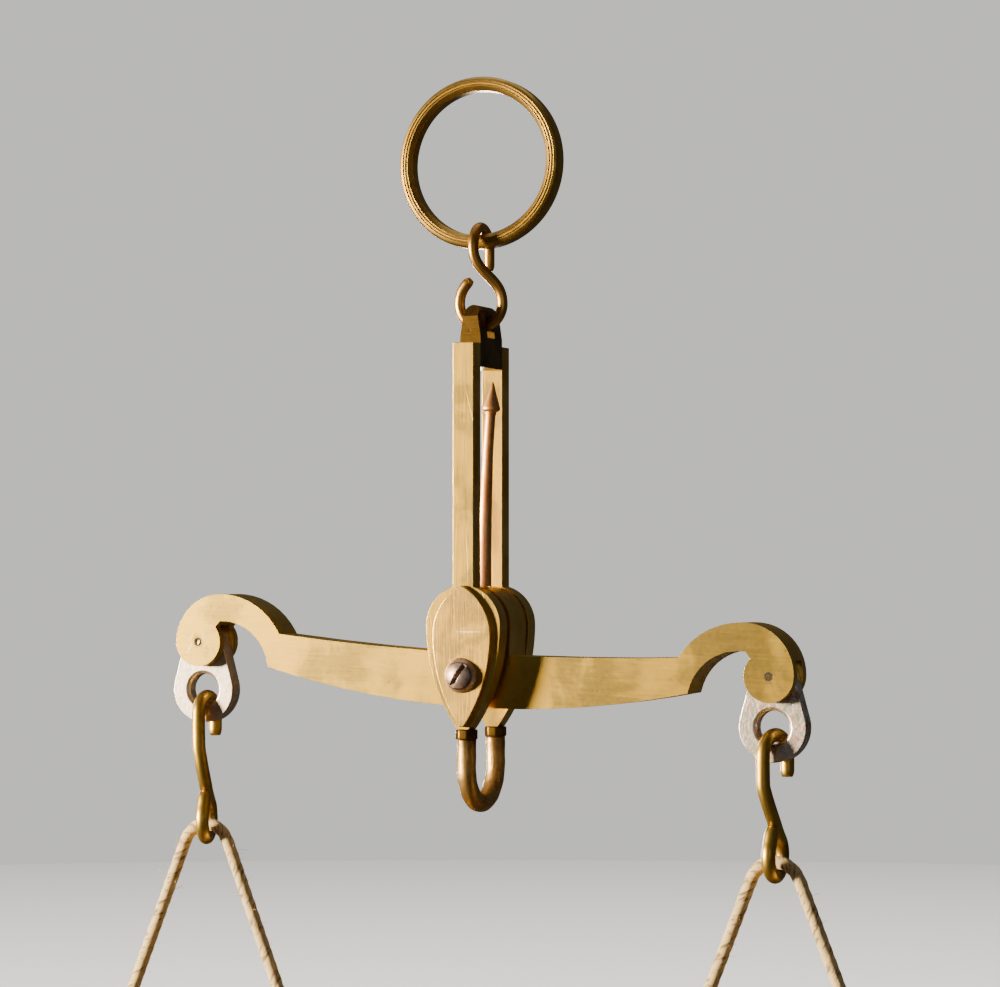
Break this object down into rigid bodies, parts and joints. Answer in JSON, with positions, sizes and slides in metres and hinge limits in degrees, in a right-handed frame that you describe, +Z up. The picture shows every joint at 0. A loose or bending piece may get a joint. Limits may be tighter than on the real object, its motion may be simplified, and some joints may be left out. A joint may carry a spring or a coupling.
{
  "type": "brass hanging balance scale",
  "caption": "Small brass hand balance: a ring and S-hook carry a fork, a swan-neck beam with a pointer, and corded dished pans.",
  "frame": {"origin": "top of the inside of the suspension ring, where the scale hangs", "axes": "+Z up, X along the beam with the lower arm on +X, Y across the fork with the front cover on -Y"},
  "size_m": [0.1659, 0.066, 0.2088],
  "materials": {
    "warm_brass": "turned and hand-worn brass, warm and slightly dark",
    "bronze_wire": "polished bronze wire",
    "filed_brass": "pale brass, draw-filed with a fine straight grain",
    "beam_brass": "pale yellow brass, brushed along the beam with fine scratches",
    "worn_steel": "old steel with a faint pink-grey bloom",
    "blued_steel": "dark hardened steel",
    "screw_steel": "domed steel, brown-grey",
    "bow_bronze": "brown bronze with file marks",
    "pointer_copper": "copper-brown patina",
    "hook_brass": "drawn brass wire",
    "cotton_cord": "cream twisted cotton with light fuzz",
    "pan_brass": "thin spun brass sheet"
  },
  "bodies": {
    "ring": {"ring": "warm_brass"},
    "s_hook": {"s_hook": "bronze_wire"},
    "fork": {"suspension_arch": "filed_brass", "front_cheek": "filed_brass", "rear_cheek": "filed_brass", "front_bush": "blued_steel", "rear_bush": "blued_steel", "front_cover": "filed_brass", "rear_cover": "filed_brass", "front_screw": "screw_steel", "rear_screw": "screw_steel", "front_collar": "bow_bronze", "rear_collar": "bow_bronze", "stirrup_bow": "bow_bronze"},
    "beam": {"beam": "beam_brass", "knife_edge": "blued_steel", "pointer": "pointer_copper", "pointer_arrow": "pointer_copper", "left_end_pin": "blued_steel", "right_end_pin": "blued_steel"},
    "left_shackle": {"left_shackle": "worn_steel"},
    "right_shackle": {"right_shackle": "worn_steel"},
    "left_hook": {"left_hook": "hook_brass"},
    "right_hook": {"right_hook": "hook_brass"},
    "left_pan": {"left_cord": "cotton_cord", "left_knots": "cotton_cord", "left_pan": "pan_brass"},
    "right_pan": {"right_cord": "cotton_cord", "right_knots": "cotton_cord", "right_pan": "pan_brass"}
  },
  "joints": [
    {"name": "s_hook_swing", "type": "hinge", "parent": "ring", "child": "s_hook", "pos_m": [0, 0, -0.02465], "axis": [1, 0, 0], "range_deg": [-20, 20]},
    {"name": "fork_swing", "type": "hinge", "parent": "s_hook", "child": "fork", "pos_m": [0, 0, -0.0363], "axis": [0, 1, 0], "range_deg": [-20, 20]},
    {"name": "beam_tilt", "type": "hinge", "parent": "fork", "child": "beam", "pos_m": [0, 0, -0.0914], "axis": [0, 1, 0], "range_deg": [-14.7, 9.3]},
    {"name": "left_shackle_swing", "type": "hinge", "parent": "beam", "child": "left_shackle", "pos_m": [-0.04999, 0, -0.09004], "axis": [0, 1, 0], "range_deg": [-15, 15]},
    {"name": "right_shackle_swing", "type": "hinge", "parent": "beam", "child": "right_shackle", "pos_m": [0.0499, 0, -0.09475], "axis": [0, 1, 0], "range_deg": [-15, 15]},
    {"name": "left_hook_swing", "type": "hinge", "parent": "left_shackle", "child": "left_hook", "pos_m": [-0.04999, 0, -0.10212], "axis": [1, 0, 0], "range_deg": [-15, 15]},
    {"name": "right_hook_swing", "type": "hinge", "parent": "right_shackle", "child": "right_hook", "pos_m": [0.0499, 0, -0.10683], "axis": [1, 0, 0], "range_deg": [-15, 15]},
    {"name": "left_pan_swing", "type": "hinge", "parent": "left_hook", "child": "left_pan", "pos_m": [-0.04999, 0, -0.12299], "axis": [0, 1, 0], "range_deg": [-8, 8]},
    {"name": "right_pan_swing", "type": "hinge", "parent": "right_hook", "child": "right_pan", "pos_m": [0.0499, 0, -0.1261], "axis": [0, 1, 0], "range_deg": [-8, 8]}
  ]
}
